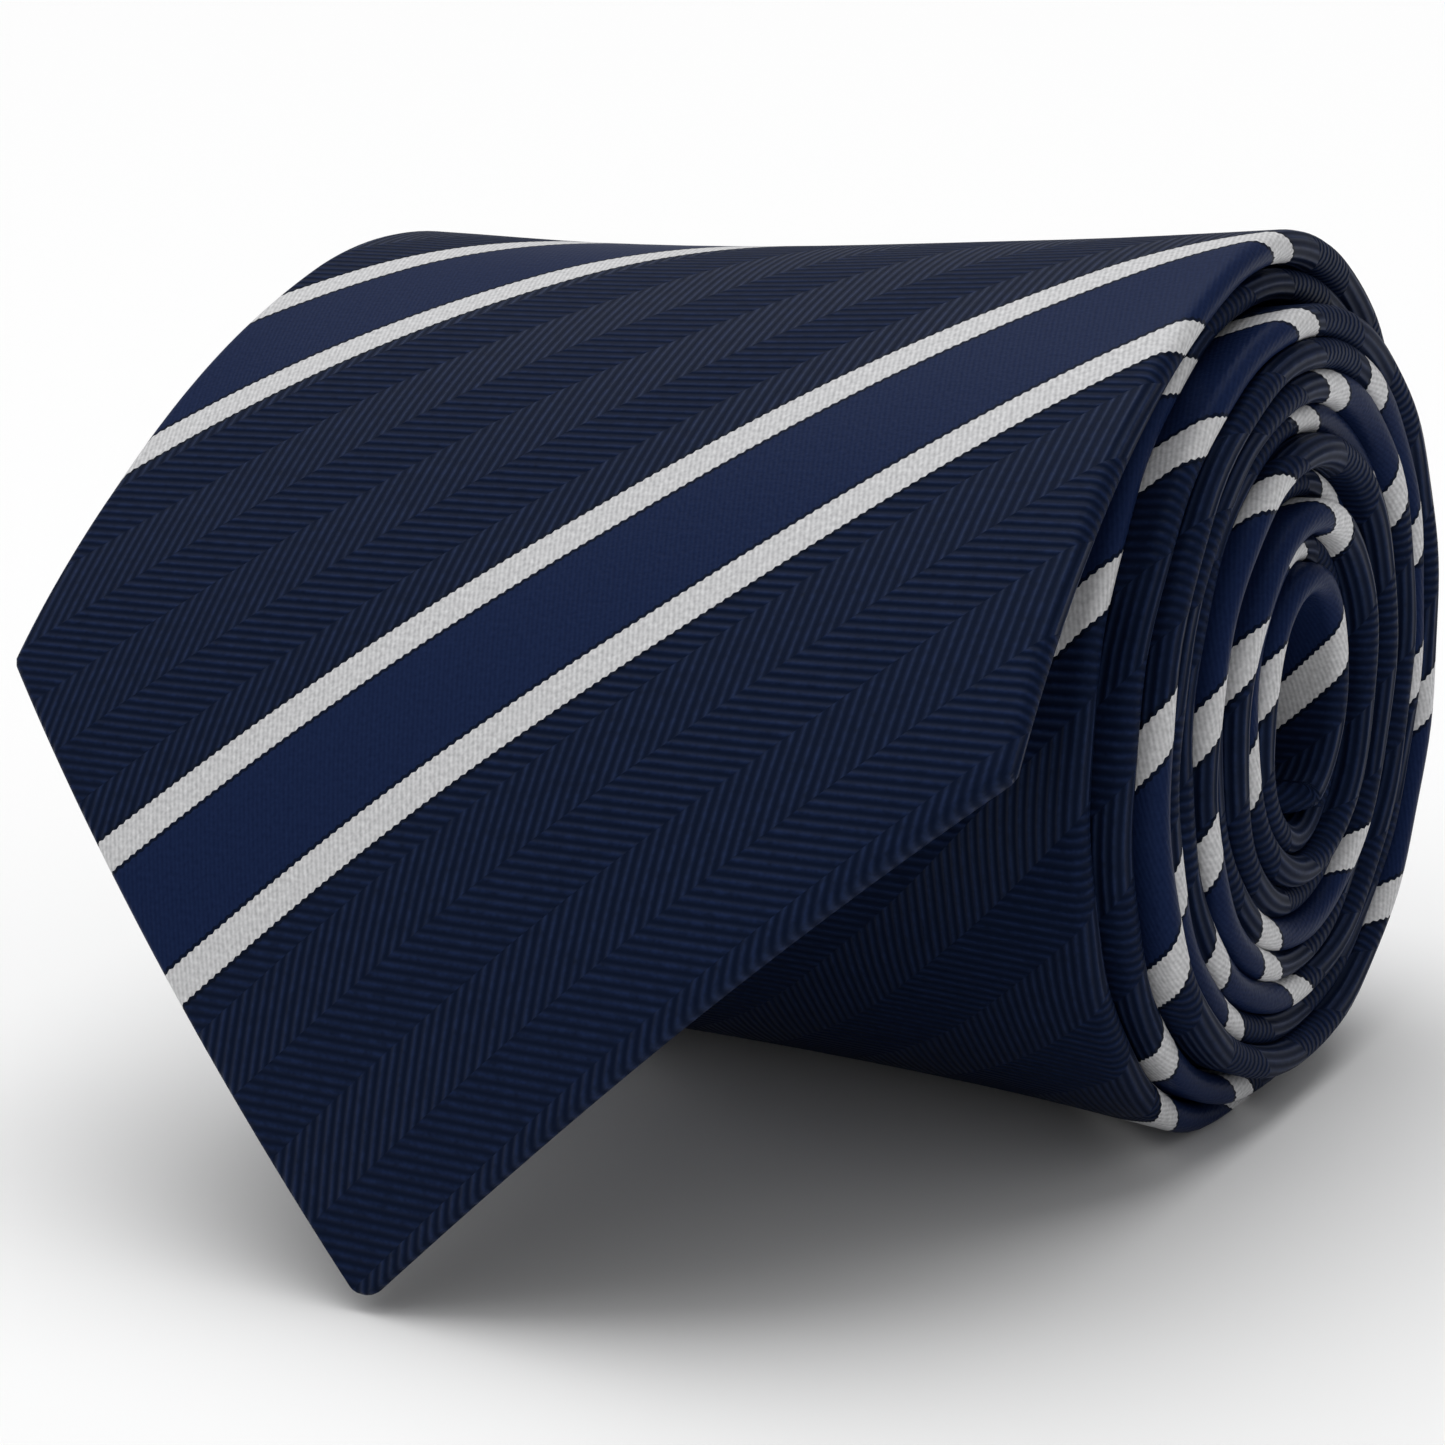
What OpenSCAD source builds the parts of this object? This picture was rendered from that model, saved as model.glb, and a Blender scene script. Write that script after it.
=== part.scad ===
// Silk necktie, rolled up from its tail, with the end of its blade hanging free in front.
// The roll's axis lies along X and the free blade hangs on the -Y side. The roll and the
// tip of the blade rest on z = 0, and the origin is the middle of the footprint.

/* [Tie] */
// Width across the corners of the blade
blade_width = 85; // [78:1:90]
// Width of the neck, the narrowest stretch
neck_width = 33; // [30:1:38]
// Width across the corners of the tail
tail_width = 45; // [40:1:50]
// Distance from the blade's tip to the neck
taper_length = 900; // [800:10:950]
// Length of the neck's parallel stretch
neck_length = 160; // [100:10:200]
// Thickness of the folded tie: two layers of silk around the interlining
tie_thickness = 2.1; // [1.9:0.1:2.2]
// Thickness of the silk on each side, with its turned-in allowance
silk_thickness = 0.5; // [0.4:0.05:0.55]
// Width of the hem along both edges of the blade's point
hem_width = 10; // [8:1:14]

/* [Roll] */
// Height of the roll
roll_height = 66.5; // [64:0.5:70]
// Growth of the radius in one turn
turn_pitch = 2.55; // [2.55:0.01:2.6]
// Whole turns between the tail's tip and the line where the blade leaves the roll
whole_turns = 11; // [9:1:11]
// How far the roll's underside is pressed flat by its own weight
flat_depth = 1; // [0.6:0.1:1.2]
// Straight stretches that one turn is made of
turn_segments = 24; // [24:12:36]
// How far the innermost turn stands proud of the outermost one at the right-hand end
core_proud = 2.7; // [0:0.1:3]

/* [Free blade] */
// Angle in front of the roll's top at which the blade leaves the roll
leave_angle = 17; // [10:1:25]
// Radius of the curve in which the free blade hangs
flap_radius = 80; // [70:1:90]
// Height of the blade's tip above the surface that the roll rests on
tip_height = 0.4; // [0.3:0.1:2]
// Distance of the line on which the free blade turns from the line where it leaves the roll
hinge_offset = 12; // [8:1:16]
// Straight stretches that the free blade is made of
flap_segments = 18; // [12:1:24]

/* [Trim] */
// Length of the keeper loop across the back of the blade
keeper_width = 46; // [40:1:50]
// Distance of the keeper loop from the blade's tip
keeper_distance = 205; // [180:5:230]
// Length of the blank label across the tie
label_width = 36; // [30:1:40]
// Distance of the label from the blade's tip
label_distance = 240; // [230:5:260]
// Length of a bar tack
tack_length = 9; // [6:1:12]
// Distance of the seam between blade and neck from the blade's tip
neck_seam_distance = 660; // [600:10:700]
// Distance of the seam between neck and tail from the blade's tip
tail_seam_distance = 1010; // [960:10:1060]

/* [Hidden] */

// Half the thickness of the folded tie, and the height of its inner space
half_t = tie_thickness / 2;
half_space = half_t - silk_thickness;

// The rings that the wound tie is made of are counted from the leave line to the tail
step_angle = 360 / turn_segments;
last_ring = whole_turns * turn_segments;

// Radius of the roll's outer face at its top, and of the middle of the cloth at the leave line
top_radius = (roll_height + flat_depth + turn_pitch / 2) / 2;
leave_radius = top_radius + turn_pitch * leave_angle / 360 - half_t;
roll_z = top_radius - turn_pitch / 2 - flat_depth;

// The free blade hangs in an arc whose centre lies on the leave line's radius
arc_offset = flap_radius - leave_radius;
arc_z = roll_z - arc_offset * cos(leave_angle);
tip_angle = acos((tip_height - arc_z) / flap_radius);
flap_length = (tip_angle - leave_angle) * flap_radius * PI / 180;

// The free blade turns on a line across its outer face. The stretch between that line and
// the roll belongs to the roll, and it is made of two more rings, ahead of the wound ones.
hinge_distance = flap_length - hinge_offset;
lead_distances = [hinge_distance, hinge_distance + hinge_offset / 2];

// Both ends of the tie come to a right-angled point that is cut blunt by a millimetre or so
point_length = blade_width / 2;
tail_point_length = tail_width / 2;
tip_cut = 0.8;
blunt_half_width = 1.6;
tie_length = ring_distance(last_ring);

// The footprint is centred on the origin, from the tip's outer face to the roll's back
back_reach = max([for (i = [0 : turn_segments])
    -(ring_radius(i) + half_t) * sin(leave_angle - i * step_angle)]);
front_reach = (flap_radius + half_t) * sin(flap_angle(tip_cut)) - arc_offset * sin(leave_angle);
roll_y = (front_reach - back_reach) / 2;

// The blade narrows evenly to both sides until it has settled on the roll
settle_length = 150;
taper_slope = (blade_width - neck_width) / (taper_length - point_length);

// The edge of the folded tie: how far its round reaches in, and the width of its fold
edge_round = 0.7;
edge_fold = 1.2;

// The two back flaps meet along the middle and part below the slip stitch
slit = 0.3;
slit_end_distance = 80;

// Clearance between a wound piece of trim and the cloth, and between the two bodies
trim_clearance = 0.06;
trim_thickness = 0.3;
body_clearance = 0.3;

// Width of one thread, and of a row of stitches
thread = 0.4;
stitch_row = 0.8;

// Clearances of the interlining above, below and beside it, inside the folded silk. Near the
// tip the lining of the blade lies below it.
wool_clearance = 0.04;
wool_low = 0.35;
side_clearance = 0.2;

// Distances from the blade's tip at which its interlining and its lining start, and the same
// from the tail's tip. The tail's stitches stop where its lining shows.
wool_inset = 4;
lining_inset = 5;
tail_wool_inset = 8;
tail_lining_inset = 10;
tail_lining_end = 42;
tail_lining_half_width = 8;
tail_tack_inset = 52;
tail_stitch_inset = 60;

function ring_radius(i) = leave_radius - turn_pitch * i / turn_segments;

// Distance of a ring from the blade's tip, measured along the tie
function ring_distance(i) =
    flap_length + PI * (pow(leave_radius, 2) - pow(ring_radius(i), 2)) / turn_pitch;

// Number of the ring nearest to a distance from the blade's tip
function nearest_ring(s) =
    round((leave_radius - sqrt(pow(leave_radius, 2) - (s - flap_length) * turn_pitch / PI))
        * turn_segments / turn_pitch);

// Angle in front of the top of a place on the free blade, given its distance from the tip
function flap_angle(s) = leave_angle + (flap_length - s) / flap_radius * 180 / PI;

// Half the tie's width at a distance from the blade's tip
function half_width(s) =
    let (tail_start = taper_length + neck_length,
         tail_end = tie_length - tail_point_length,
         widening = (tail_width - neck_width) / (tail_end - tail_start))
    s < point_length ? max(s, blunt_half_width)
    : s < taper_length ? (blade_width - taper_slope * (s - point_length)) / 2
    : s < tail_start ? neck_width / 2
    : s < tail_end ? (neck_width + widening * (s - tail_start)) / 2
    : max((tie_length - s) * tail_width / 2 / tail_point_length, blunt_half_width);

// Place of the tie's middle along X, which keeps the right-hand edges of the turns together
function middle_x(s) =
    s < settle_length ? 0
    : half_width(settle_length) - half_width(min(s, tie_length - tail_point_length))
        + core_proud * (s - settle_length) / (tie_length - settle_length);

// A point of the wound tie: u runs across the cloth and n out of its face. The outermost
// turn is pressed thinner where it meets the surface that it rests on.
function roll_point(i, u, n) =
    let (a = leave_angle - i * step_angle,
         r = ring_radius(i) + n,
         pressed_z = (half_t - n) * (1 - flat_depth / tie_thickness))
    [middle_x(ring_distance(i)) + u, roll_y - r * sin(a), max(roll_z + r * cos(a), pressed_z)];

// The same for the free blade, at a distance from the tip
function flap_point(s, u, n) =
    let (a = flap_angle(s),
         r = flap_radius + n)
    [u, roll_y + arc_offset * sin(leave_angle) - r * sin(a), arc_z + r * cos(a)];

// Half the width of the inner space, and half the opening between the back flaps
function space_half(s) = max(half_width(s) - edge_fold, 0.4);
function slit_half(s) =
    let (hem_half = half_width(s) - hem_width,
         corner_half = blade_width / 2 - hem_width,
         closing = (s - point_length) / (slit_end_distance - point_length),
         open_half = s < point_length ? hem_half : corner_half * (1 - closing))
    min(max(open_half, slit), space_half(s) - 0.1);

// Outline of the folded silk: a flattened tube whose two back edges meet at the slit
function silk_outline(half, space, gap) = [
    [-gap, -half_t], [edge_round - half, -half_t], [-half, 0], [edge_round - half, half_t],
    [half - edge_round, half_t], [half, 0], [half - edge_round, -half_t], [gap, -half_t],
    [gap, -half_space], [space, -half_space], [space, half_space],
    [-space, half_space], [-space, -half_space], [-gap, -half_space]
];

function strip_outline(left, right, low, high) =
    [[left, low], [left, high], [right, high], [right, low]];

// Flat pieces that close the end of a folded tube or of a strip, given as outline points
function end_pieces(count) =
    count == 4 ? [[0, 1, 2, 3]]
    : [[0, 1, 12, 13], [1, 2, 12], [2, 11, 12], [2, 3, 11], [3, 4, 10, 11],
       [4, 5, 10], [5, 9, 10], [5, 6, 9], [6, 7, 8, 9]];

// Skins a list of rings that all have the same number of points
module skin(rings) {
    count = len(rings[0]);
    last = (len(rings) - 1) * count;
    sides = [for (here = [0 : count : last - count], j = [0 : count - 1])
        let (there = here + count,
             next = (j + 1) % count)
        each [[here + j, there + j, there + next], [here + j, there + next, here + next]]];
    start_end = end_pieces(count);
    far_end = [for (piece = start_end)
        [for (k = [len(piece) - 1 : -1 : 0]) last + piece[k]]];
    polyhedron([for (ring = rings) each ring], concat(start_end, far_end, sides));
}

// Rings of silk ahead of the roll, and of silk wound from one ring to another
function lead_silk() = [for (s = lead_distances)
    [for (p = silk_outline(half_width(s), space_half(s), slit_half(s)))
        flap_point(s, p[0], p[1])]];
function wound_silk(first, last) = [for (i = [first : last])
    let (s = ring_distance(i))
    [for (p = silk_outline(half_width(s), space_half(s), slit)) roll_point(i, p[0], p[1])]];

// Rings of a flat strip wound with the tie, given half its width at each ring
function wound_strip(first, halves, low, high) = [for (k = [0 : len(halves) - 1])
    [for (p = strip_outline(-halves[k], halves[k], low, high))
        roll_point(first + k, p[0], p[1])]];

// Trim that lies on the back of the tie, between two turns
module wound_trim(first, last, half) {
    high = -half_t - trim_clearance;
    skin(wound_strip(first, [for (i = [first : last]) half], high - trim_thickness, high));
}

// A row of stitches across the back of the tie, halfway between a ring and the next one
module stitch_bar(i, left, right) {
    high = -half_t - trim_clearance;
    outline = strip_outline(left, right, high - trim_thickness, high);
    near = [for (p = outline) roll_point(i, p[0], p[1])];
    next = [for (p = outline) roll_point(i + 1, p[0], p[1])];
    share = stitch_row / 2 / norm(next[0] - near[0]);
    skin([for (f = [0.5 - share, 0.5 + share])
        [for (j = [0 : 3]) near[j] + (next[j] - near[j]) * f]]);
}

module blade_silk() {
    color("#1b2338") skin(concat(lead_silk(), wound_silk(0, nearest_ring(neck_seam_distance))));
}

module neck_silk() {
    color("#1f2740")
        skin(wound_silk(nearest_ring(neck_seam_distance), nearest_ring(tail_seam_distance)));
}

module tail_silk() {
    color("#232c48") skin(wound_silk(nearest_ring(tail_seam_distance), last_ring));
}

// Wool interlining that gives the tie its body, cut to the inside of the folded silk
module interlining() {
    low = wool_low - half_space;
    high = half_space - wool_clearance;
    end_ring = nearest_ring(tie_length - tail_wool_inset);
    lead = [for (s = lead_distances)
        let (half = space_half(s) - side_clearance)
        [for (p = strip_outline(-half, half, low, high)) flap_point(s, p[0], p[1])]];
    halves = [for (i = [0 : end_ring]) space_half(ring_distance(i)) - side_clearance];
    color("#d8d2c4") skin(concat(lead, wound_strip(0, halves, low, high)));
}

// Lining of the tail, a short piece that closes its back below the slip stitch
module tail_tipping() {
    first = nearest_ring(tie_length - tail_lining_end);
    last = nearest_ring(tie_length - tail_lining_inset);
    high = -half_t - trim_clearance;
    halves = [for (i = [first : last])
        min(tail_lining_half_width, space_half(ring_distance(i)) - side_clearance)];
    color("#141b33") skin(wound_strip(first, halves, high - trim_thickness, high));
}

// The single thread that closes the back of the tie from tack to tack
module slip_stitch() {
    first = 2;
    last = nearest_ring(tie_length - tail_stitch_inset);
    halves = [for (i = [first : last]) thread / 2];
    color("#10162b")
        skin(wound_strip(first, halves, trim_clearance - half_t, -half_space - wool_clearance));
}

module blade_tack() {
    color("#2a3350") stitch_bar(1, -tack_length / 2, tack_length / 2);
}

module tail_tack() {
    color("#2a3350")
        stitch_bar(nearest_ring(tie_length - tail_tack_inset),
            -tack_length / 2, tack_length / 2);
}

// Loop of the tie's own silk that holds the tail behind the blade
module keeper_loop() {
    first = nearest_ring(keeper_distance);
    color("#1b2338") wound_trim(first, first + 1, keeper_width / 2);
}

module keeper_stitches() {
    color("#2a3350")
        for (side = [-1, 1]) {
            inner = side * (keeper_width / 2 + trim_clearance);
            outer = inner + side * 2 * stitch_row;
            stitch_bar(nearest_ring(keeper_distance), min(inner, outer), max(inner, outer));
        }
}

// Blank woven label
module label() {
    first = nearest_ring(label_distance);
    color("#c9c9cc") wound_trim(first, first + 3, label_width / 2);
}

module label_stitches() {
    first = nearest_ring(label_distance);
    color("#2a3350")
        for (i = [first - 1, first + 3]) stitch_bar(i, -label_width / 2, label_width / 2);
}

// Small blank tag sewn into the back seam
module care_tag() {
    first = nearest_ring(label_distance) + 6;
    color("#e6e6e6") wound_trim(first, first + 2, 7);
}

// Rows of stitches where the three panels of silk are joined
module panel_seam(distance) {
    first = nearest_ring(distance);
    half = space_half(ring_distance(first));
    color("#10162b") stitch_bar(first, -half, half);
}

module neck_seam() {
    panel_seam(neck_seam_distance);
}

module tail_seam() {
    panel_seam(tail_seam_distance);
}

// Distances from the tip of the rings that a piece of the free blade is made of. One of them
// falls on the corners of the blade.
function flap_steps(near, far) =
    let (spacing = (near - far) / flap_segments)
    [for (k = [0 : flap_segments])
        let (s = near - k * spacing)
        abs(s - point_length) < spacing / 2 ? point_length : s];

// Silk of the free end of the blade, hemmed along its point
module blade_end_silk() {
    steps = flap_steps(hinge_distance - body_clearance, tip_cut);
    color("#1b2338")
        skin([for (s = steps)
            [for (p = silk_outline(half_width(s), space_half(s), slit_half(s)))
                flap_point(s, p[0], p[1])]]);
}

// A flat strip that hangs with the free blade
module hanging_strip(near, far, low, high) {
    skin([for (s = flap_steps(near, far))
        let (half = space_half(s) - side_clearance)
        [for (p = strip_outline(-half, half, low, high)) flap_point(s, p[0], p[1])]]);
}

module blade_end_interlining() {
    color("#d8d2c4")
        hanging_strip(hinge_distance - body_clearance, wool_inset,
            wool_low - half_space, half_space - wool_clearance);
}

// Satin lining of the blade, seen between the hems and the two back flaps
module blade_tipping() {
    color("#141b33")
        hanging_strip(hinge_distance - 1, lining_inset,
            wool_clearance - half_space, wool_low - wool_clearance - half_space);
}

// Stitches that hold the hems down on the lining
module tipping_seam() {
    steps = flap_steps(slit_end_distance - 12, hem_width + 8);
    color("#10162b")
        for (side = [-1, 1])
            skin([for (s = steps)
                let (outer = side * (slit_half(s) - 0.05),
                     inner = side * (slit_half(s) - 0.05 - thread))
                [for (p = strip_outline(min(outer, inner), max(outer, inner),
                    trim_clearance - half_t, -half_space - wool_clearance / 2))
                    flap_point(s, p[0], p[1])]]);
}

blade_silk();
neck_silk();
tail_silk();
interlining();
tail_tipping();
slip_stitch();
blade_tack();
tail_tack();
keeper_loop();
keeper_stitches();
label();
label_stitches();
care_tag();
neck_seam();
tail_seam();
blade_end_silk();
blade_end_interlining();
blade_tipping();
tipping_seam();
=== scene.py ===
from math import acos, cos, pi, radians, sin, sqrt
import bmesh
import bpy
import numpy as np
from mathutils import Matrix, Vector


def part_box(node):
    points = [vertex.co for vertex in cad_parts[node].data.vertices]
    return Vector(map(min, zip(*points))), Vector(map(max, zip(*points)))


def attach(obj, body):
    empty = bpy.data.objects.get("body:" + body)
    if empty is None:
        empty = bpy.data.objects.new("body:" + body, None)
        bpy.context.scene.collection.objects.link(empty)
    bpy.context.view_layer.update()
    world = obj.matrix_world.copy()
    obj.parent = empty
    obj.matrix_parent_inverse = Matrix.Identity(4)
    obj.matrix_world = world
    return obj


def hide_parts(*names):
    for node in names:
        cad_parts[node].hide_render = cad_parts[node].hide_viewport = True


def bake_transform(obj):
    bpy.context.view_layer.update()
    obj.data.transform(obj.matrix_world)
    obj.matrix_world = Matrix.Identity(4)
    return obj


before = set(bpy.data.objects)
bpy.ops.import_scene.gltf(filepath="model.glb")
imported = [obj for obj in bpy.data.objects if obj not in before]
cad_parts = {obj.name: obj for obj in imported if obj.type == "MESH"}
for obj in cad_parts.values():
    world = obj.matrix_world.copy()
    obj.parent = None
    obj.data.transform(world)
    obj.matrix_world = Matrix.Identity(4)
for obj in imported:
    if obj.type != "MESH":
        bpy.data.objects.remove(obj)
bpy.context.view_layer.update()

mm = 0.001

# ---- The way of the tie ------------------------------------------------------------------
# The tie is one long flattened tube of cloth. From the blade's tip it hangs in an arc up to
# the roll's top, goes over the back and underneath, and winds in to the tail at the core.
# Places on it are s, the distance from the blade's tip, u across it, and n out of its face.
roll_height, turn_pitch, whole_turns, flat_depth = 66.5 * mm, 2.55 * mm, 11, 1.0 * mm
tie_thickness = 2.1 * mm
leave_angle, flap_radius, tip_height = radians(17), 80 * mm, 0.4 * mm
top_radius = (roll_height + flat_depth + turn_pitch / 2) / 2
leave_radius = top_radius + turn_pitch * leave_angle / (2 * pi) - tie_thickness / 2
roll_z = top_radius - turn_pitch / 2 - flat_depth
turn_to_back = (leave_angle + pi / 2) / (2 * pi)
roll_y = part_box("blade_silk")[1].y - (leave_radius - turn_pitch * turn_to_back + tie_thickness / 2)
arc_offset = flap_radius - leave_radius
arc_z = roll_z - arc_offset * cos(leave_angle)
flap_length = (acos((tip_height - arc_z) / flap_radius) - leave_angle) * flap_radius
core_radius = leave_radius - turn_pitch * whole_turns
tie_length = flap_length + pi * (leave_radius**2 - core_radius**2) / turn_pitch


def ease(value, low, high):
    share = np.clip((value - low) / (high - low), 0, 1)
    return share * share * (3 - 2 * share)


# The middle line of the cloth, seen from the end of the roll: the arc, then the spiral. The
# turns are more and more oval towards the core, because the tail was folded flat before it was
# rolled, and the tail's own end curls up in the hollow.
drawn_turns, curl_turn, curl_size, core_least = 12.2, 10.2, 1.6 * mm, 1.3 * mm
wound_angle = np.arange(0, 2 * pi * drawn_turns, radians(0.5))
wound_turn = wound_angle / (2 * pi)
curled = curl_size * np.clip(wound_turn - curl_turn, 0, None)**1.3
radius = np.maximum(leave_radius - turn_pitch * wound_turn - curled, core_least)
angle = leave_angle - wound_angle
oval_radii = np.array([0, 5.4, 8, 10.5, 13, 15.6, 18.1, 20.7, 24, 28]) * mm
width_share = np.interp(radius, oval_radii,
                        [0.82, 0.83, 0.9, 0.93, 0.955, 0.97, 0.98, 0.99, 0.997, 1])
height_share = np.interp(radius, oval_radii,
                         [1.3, 1.3, 1.2, 1.135, 1.1, 1.075, 1.055, 1.035, 1.018, 1])
# The roll is drawn in at its back, and more so low down.
backward, downward = 1 - np.sin(angle), 1 - 0.6 * np.cos(angle)
drawn_in = 1 - 0.03 * backward * downward * ease(wound_angle, 0, 1.8)
wound_y = roll_y - radius * width_share * drawn_in * np.sin(angle)
wound_z = roll_z + radius * height_share * np.cos(angle)
wound_s = flap_length + np.concatenate(
    [[0], np.cumsum(np.hypot(np.diff(wound_y), np.diff(wound_z)))])
arc_angle = np.linspace(leave_angle + flap_length / flap_radius, leave_angle, 300, endpoint=False)
line_s = np.concatenate([flap_length - (arc_angle - leave_angle) * flap_radius, wound_s])
line_y = np.concatenate([roll_y + arc_offset * sin(leave_angle) - flap_radius * np.sin(arc_angle),
                         wound_y])
line_z = np.concatenate([arc_z + flap_radius * np.cos(arc_angle), wound_z])
line_turn = np.concatenate([0 * arc_angle, wound_turn])
slope_y, slope_z = np.gradient(line_y, line_s), np.gradient(line_z, line_s)
slope = np.hypot(slope_y, slope_z)
normal_y, normal_z = -slope_z / slope, slope_y / slope

# Half the width of the tie, the place of its right-hand edge, and how that edge wanders from
# turn to turn, because a tie that is rolled up by hand is never quite flush.
blade_width, neck_width, tail_width = 85 * mm, 33 * mm, 45 * mm
point_length, tail_point = blade_width / 2, tail_width / 2
taper_end, neck_end = 900 * mm, 1060 * mm
tip_round = 1.7 * mm
other_turn = (1.03 * pi, 0.35)  # nearly every other turn stands out


def half_width(s):
    inset = np.minimum(s, tie_length - s)
    rounded = np.sqrt(np.clip(tip_round**2 - (inset - tip_round * sqrt(2))**2, 0, None))
    pointed = np.where(inset < tip_round / sqrt(2), rounded, inset)
    straight = np.interp(
        s, [0, point_length, taper_end, neck_end, tie_length - tail_point, tie_length],
        np.repeat([blade_width / 2, neck_width / 2, tail_width / 2], 2))
    return np.minimum(pointed, straight)


def turn_swing(s, swings, start):
    """A number that swings between -1 and 1 along the wound part. swings is in radians a turn."""
    return np.sin(np.interp(s, line_s, line_turn) * swings + start) * ease(s, 190 * mm, 260 * mm)


def right_edge(s):
    edge = np.interp(s, np.array([0, 42.5, 150, 200, 250, 340, 437, 608, 1000, 1500]) * mm,
                     np.array([42.5, 42.5, 37.5, 38.3, 38.9, 39.9, 41.6, 42.3, 42.2, 42.6]) * mm)
    wander = 0.75 * mm * turn_swing(s, *other_turn) + 0.35 * mm * turn_swing(s, 2.3, 1)
    ripple = 0.07 * mm * np.sin(s / (2.1 * mm)) * ease(s, 90 * mm, 130 * mm)
    return edge + wander + ripple


def middle(s):
    """How far right the middle of the tie lies. The hanging end sways a little to the left."""
    inner = np.minimum(s, tie_length - tail_point)
    sway = 0.9 * mm * ease(s, 0, point_length) * (1 - ease(s, 55 * mm, 120 * mm))
    return np.where(s < point_length, 0, right_edge(inner) - half_width(inner)) - sway


def place(s, u, n):
    """Points in the frame, one row each, for places on the cloth."""
    x = middle(s) + u
    half = np.maximum(half_width(s), 1 * mm)
    # Wound cloth sags between its edges, the less the further in. Where it leaves the roll it
    # is fuller, and the hanging end has a shallow wave
    sag = (1.2 * mm * (1 - np.clip(u / half, -1, 1)**2) - 0.7 * mm) * ease(s, 60 * mm, 110 * mm)
    sag = sag * np.interp(s, [300 * mm, 1200 * mm], [1, 0])
    fuller = 0.6 * mm * ease(s, 50 * mm, 82 * mm) * (1 - ease(s, 84 * mm, 130 * mm))
    wave = 0.12 * mm * np.sin(s / (17 * mm) + u / (9 * mm))
    wave = wave * ease(s, 10 * mm, 60 * mm) * (1 - ease(s, 90 * mm, 200 * mm))
    n = n - sag + fuller + wave
    y = np.interp(s, line_s, line_y) + n * np.interp(s, line_s, normal_y)
    z = np.interp(s, line_s, line_z) + n * np.interp(s, line_s, normal_z)
    # The underside is pressed flat, and the roll is a little lower at its left-hand end, where
    # fewer turns fill it
    low = z - 0.3 * mm
    pressed = (low + np.sqrt(low**2 + (1.1 * mm)**2)) / 2 - 0.1 * mm
    pressed = pressed + 0.4 * mm * ease(z, 5 * mm, 40 * mm)
    z = np.where(s > flap_length, pressed, z)
    lower = 0.025 * (x - blade_width / 2) / (38 * mm)
    z = z * (1 + lower * np.clip(s / (60 * mm), 0, 1))
    return np.stack([x, y, z], -1)


# ---- The silk ----------------------------------------------------------------------------
# Each panel of silk is folded round the interlining, with round folds at both edges, and its
# two raw edges meet along the middle of the back. Near the tip they part over the lining.
silk_thickness, hem_width, slit, slit_end = 0.35 * mm, 10 * mm, 0.3 * mm, 80 * mm
slant, slant_reach = 0.9, 70 * mm  # of the panels' cut ends


def fold_size(s):
    """Radius of the round fold at both edges."""
    size = np.interp(s, np.array([0, 42, 75, 100, 250, 1100, 1350, 1430]) * mm,
                     np.array([0.75, 1.0, 1.24, 1.25, 1.23, 1.23, 1.2, 1.12]) * mm)
    size = size + 0.07 * mm * turn_swing(s, *other_turn)
    return np.minimum(size, half_width(s) * 0.7)


def half_thickness(s, u):
    """Half the tie's thickness, which is a little less between the folds than at them."""
    size, half = fold_size(s), np.maximum(half_width(s), 0.5 * mm)
    share = ease(np.abs(u) / half, 0.55, 0.97)
    return size * (0.86 + 0.14 * share)


def slit_half(s):
    """Half the distance between the two raw edges."""
    hem = half_width(s) - hem_width
    corner = blade_width / 2 - hem_width
    opened = np.where(s < point_length, hem,
                      corner * (1 - (s - point_length) / (slit_end - point_length)))
    return np.minimum(np.maximum(opened, slit), np.maximum(half_width(s) - 1.3 * mm, 0.05 * mm))


def stripe_drift(s):
    """How far the pattern has crept along the cloth in sewing and pressing."""
    creep = 0.6 * mm * ease(s, 20 * mm, 55 * mm) * (1 - ease(s, 75 * mm, 105 * mm))
    return creep + 16.3 * mm * ease(s, 110 * mm, 250 * mm)


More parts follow.
